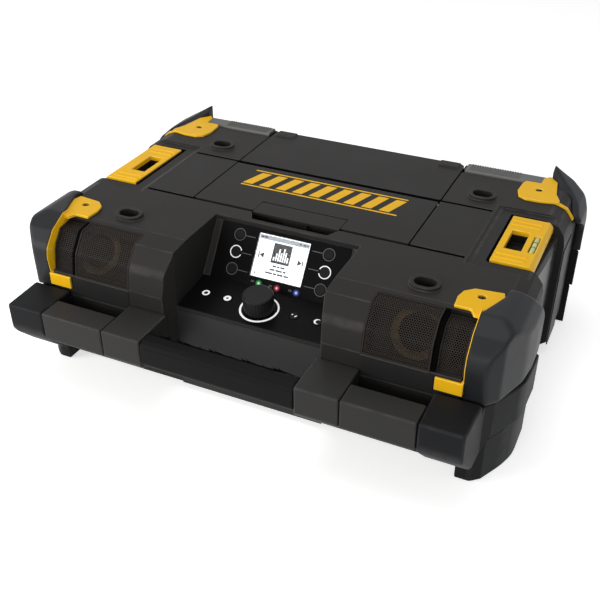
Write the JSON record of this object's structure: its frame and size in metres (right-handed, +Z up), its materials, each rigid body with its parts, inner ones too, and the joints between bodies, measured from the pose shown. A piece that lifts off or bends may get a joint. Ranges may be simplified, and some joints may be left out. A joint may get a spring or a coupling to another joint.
{
  "type": "jobsite radio",
  "caption": "Low stackable jobsite radio: lidded storage well, sloped display and console, carrying bar, corner guards, side latches, grilled speakers.",
  "frame": {"origin": "centre of the footprint, on the surface the feet stand on", "axes": "+X across the radio to its right, +Y from the carrying bar to the back, +Z up"},
  "size_m": [0.444, 0.33, 0.1495],
  "materials": {
    "shell_black": "fine-grained moulded plastic",
    "well_black": "plain moulded plastic",
    "guard_black": "satin impact plastic",
    "fascia_grey": "fine-grained moulded plastic",
    "panel_gloss": "polished plastic",
    "lens_clear": "clear window",
    "screen": "lit display",
    "indicator": "clear light pipes",
    "board_green": "lacquered circuit board",
    "ring_white": "light ring",
    "knob_black": "soft fluted rubber",
    "seal_rubber": "soft rubber",
    "grip_rubber": "textured soft grip",
    "steel": "turned steel",
    "steel_dark": "blackened screws",
    "rail_grey": "ribbed extrusion",
    "grille_black": "perforated, powder coated",
    "speaker_bronze": "moulded ring",
    "speaker_paper": "pressed paper",
    "magnet": "ferrite and pressed steel",
    "trim_yellow": "fine-grained moulded plastic",
    "button_black": "soft keys with printed rings",
    "vial_clear": "clear vial with tinted liquid"
  },
  "bodies": {
    "root": {"bar_covers": "guard_black", "base_shell": "shell_black", "battery_dock": "well_black", "case_screws": "steel_dark", "control_panel": "panel_gloss", "display_lens": "lens_clear", "display_module": "screen", "display_plate": "panel_gloss", "encoder": "steel", "fascia_plate": "fascia_grey", "feet": "guard_black", "front_left_bumper": "guard_black", "front_left_guard": "guard_black", "front_right_bumper": "guard_black", "front_right_guard": "guard_black", "front_trims": "trim_yellow", "handle_frame": "guard_black", "handle_grip": "grip_rubber", "hinge_pins": "steel", "indicator_lights": "indicator", "key_board": "board_green", "knob_ring": "ring_white", "left_grille": "grille_black", "lid_seal": "seal_rubber", "main_board": "board_green", "mains_inlet": "well_black", "port_panel": "panel_gloss", "power_supply": "magnet", "rail_brackets": "shell_black", "rear_bumpers": "guard_black", "rear_cover": "shell_black", "rear_left_guard": "guard_black", "rear_rails": "rail_grey", "rear_right_guard": "guard_black", "rear_trims": "trim_yellow", "right_grille": "grille_black", "side_grilles": "grille_black", "speaker_baffles": "well_black", "speaker_cones": "speaker_paper", "speaker_frames": "speaker_bronze", "speaker_magnets": "magnet", "storage_well": "well_black", "top_shell": "shell_black", "trim_screws": "steel_dark"},
    "lid": {"compartment_lid": "shell_black"},
    "catch": {"lid_catch": "shell_black"},
    "latch_left": {"left_latch": "trim_yellow"},
    "latch_right": {"right_latch": "trim_yellow", "spirit_vial": "vial_clear"},
    "knob": {"volume_knob": "knob_black"},
    "preset_1": {"preset_button_1": "button_black"},
    "preset_2": {"preset_button_2": "button_black"},
    "preset_3": {"preset_button_3": "button_black"},
    "preset_4": {"preset_button_4": "button_black"},
    "preset_5": {"preset_button_5": "button_black"},
    "preset_6": {"preset_button_6": "button_black"},
    "key_1": {"console_key_1": "button_black"},
    "key_2": {"console_key_2": "button_black"},
    "key_3": {"console_key_3": "button_black"},
    "key_4": {"console_key_4": "button_black"}
  },
  "joints": [
    {"name": "lid_hinge", "type": "hinge", "parent": "root", "child": "lid", "pos_m": [0, 0.067, 0.1348], "axis": [-1, 0, 0], "range_deg": [0, 95]},
    {"name": "catch_pivot", "type": "hinge", "parent": "lid", "child": "catch", "pos_m": [0, 0.0016, 0.13675], "axis": [-1, 0, 0], "range_deg": [0, 25], "stiffness_Nm_per_rad": 0.05},
    {"name": "left_latch_hinge", "type": "hinge", "parent": "root", "child": "latch_left", "pos_m": [-0.1991, 0.03155, 0.1291], "axis": [0, -1, 0], "range_deg": [0, 110]},
    {"name": "right_latch_hinge", "type": "hinge", "parent": "root", "child": "latch_right", "pos_m": [0.1991, 0.03155, 0.1291], "axis": [0, 1, 0], "range_deg": [0, 110]},
    {"name": "knob_turn", "type": "hinge", "parent": "root", "child": "knob", "pos_m": [0, -0.08668, 0.08922], "axis": [0, -0.1306, 0.9914], "continuous": true},
    {"name": "preset_1_press", "type": "slide", "parent": "root", "child": "preset_1", "axis": [0, 0.8213, -0.5705], "range_m": [0, 0.0008], "stiffness_N_per_m": 400},
    {"name": "preset_2_press", "type": "slide", "parent": "root", "child": "preset_2", "axis": [0, 0.8213, -0.5705], "range_m": [0, 0.0008], "stiffness_N_per_m": 400},
    {"name": "preset_3_press", "type": "slide", "parent": "root", "child": "preset_3", "axis": [0, 0.8213, -0.5705], "range_m": [0, 0.0008], "stiffness_N_per_m": 400},
    {"name": "preset_4_press", "type": "slide", "parent": "root", "child": "preset_4", "axis": [0, 0.8213, -0.5705], "range_m": [0, 0.0008], "stiffness_N_per_m": 400},
    {"name": "preset_5_press", "type": "slide", "parent": "root", "child": "preset_5", "axis": [0, 0.8213, -0.5705], "range_m": [0, 0.0008], "stiffness_N_per_m": 400},
    {"name": "preset_6_press", "type": "slide", "parent": "root", "child": "preset_6", "axis": [0, 0.8213, -0.5705], "range_m": [0, 0.0008], "stiffness_N_per_m": 400},
    {"name": "key_1_press", "type": "slide", "parent": "root", "child": "key_1", "axis": [0, 0.1306, -0.9914], "range_m": [0, 0.0008], "stiffness_N_per_m": 400},
    {"name": "key_2_press", "type": "slide", "parent": "root", "child": "key_2", "axis": [0, 0.1306, -0.9914], "range_m": [0, 0.0008], "stiffness_N_per_m": 400},
    {"name": "key_3_press", "type": "slide", "parent": "root", "child": "key_3", "axis": [0, 0.1306, -0.9914], "range_m": [0, 0.0008], "stiffness_N_per_m": 400},
    {"name": "key_4_press", "type": "slide", "parent": "root", "child": "key_4", "axis": [0, 0.1306, -0.9914], "range_m": [0, 0.0008], "stiffness_N_per_m": 400}
  ]
}
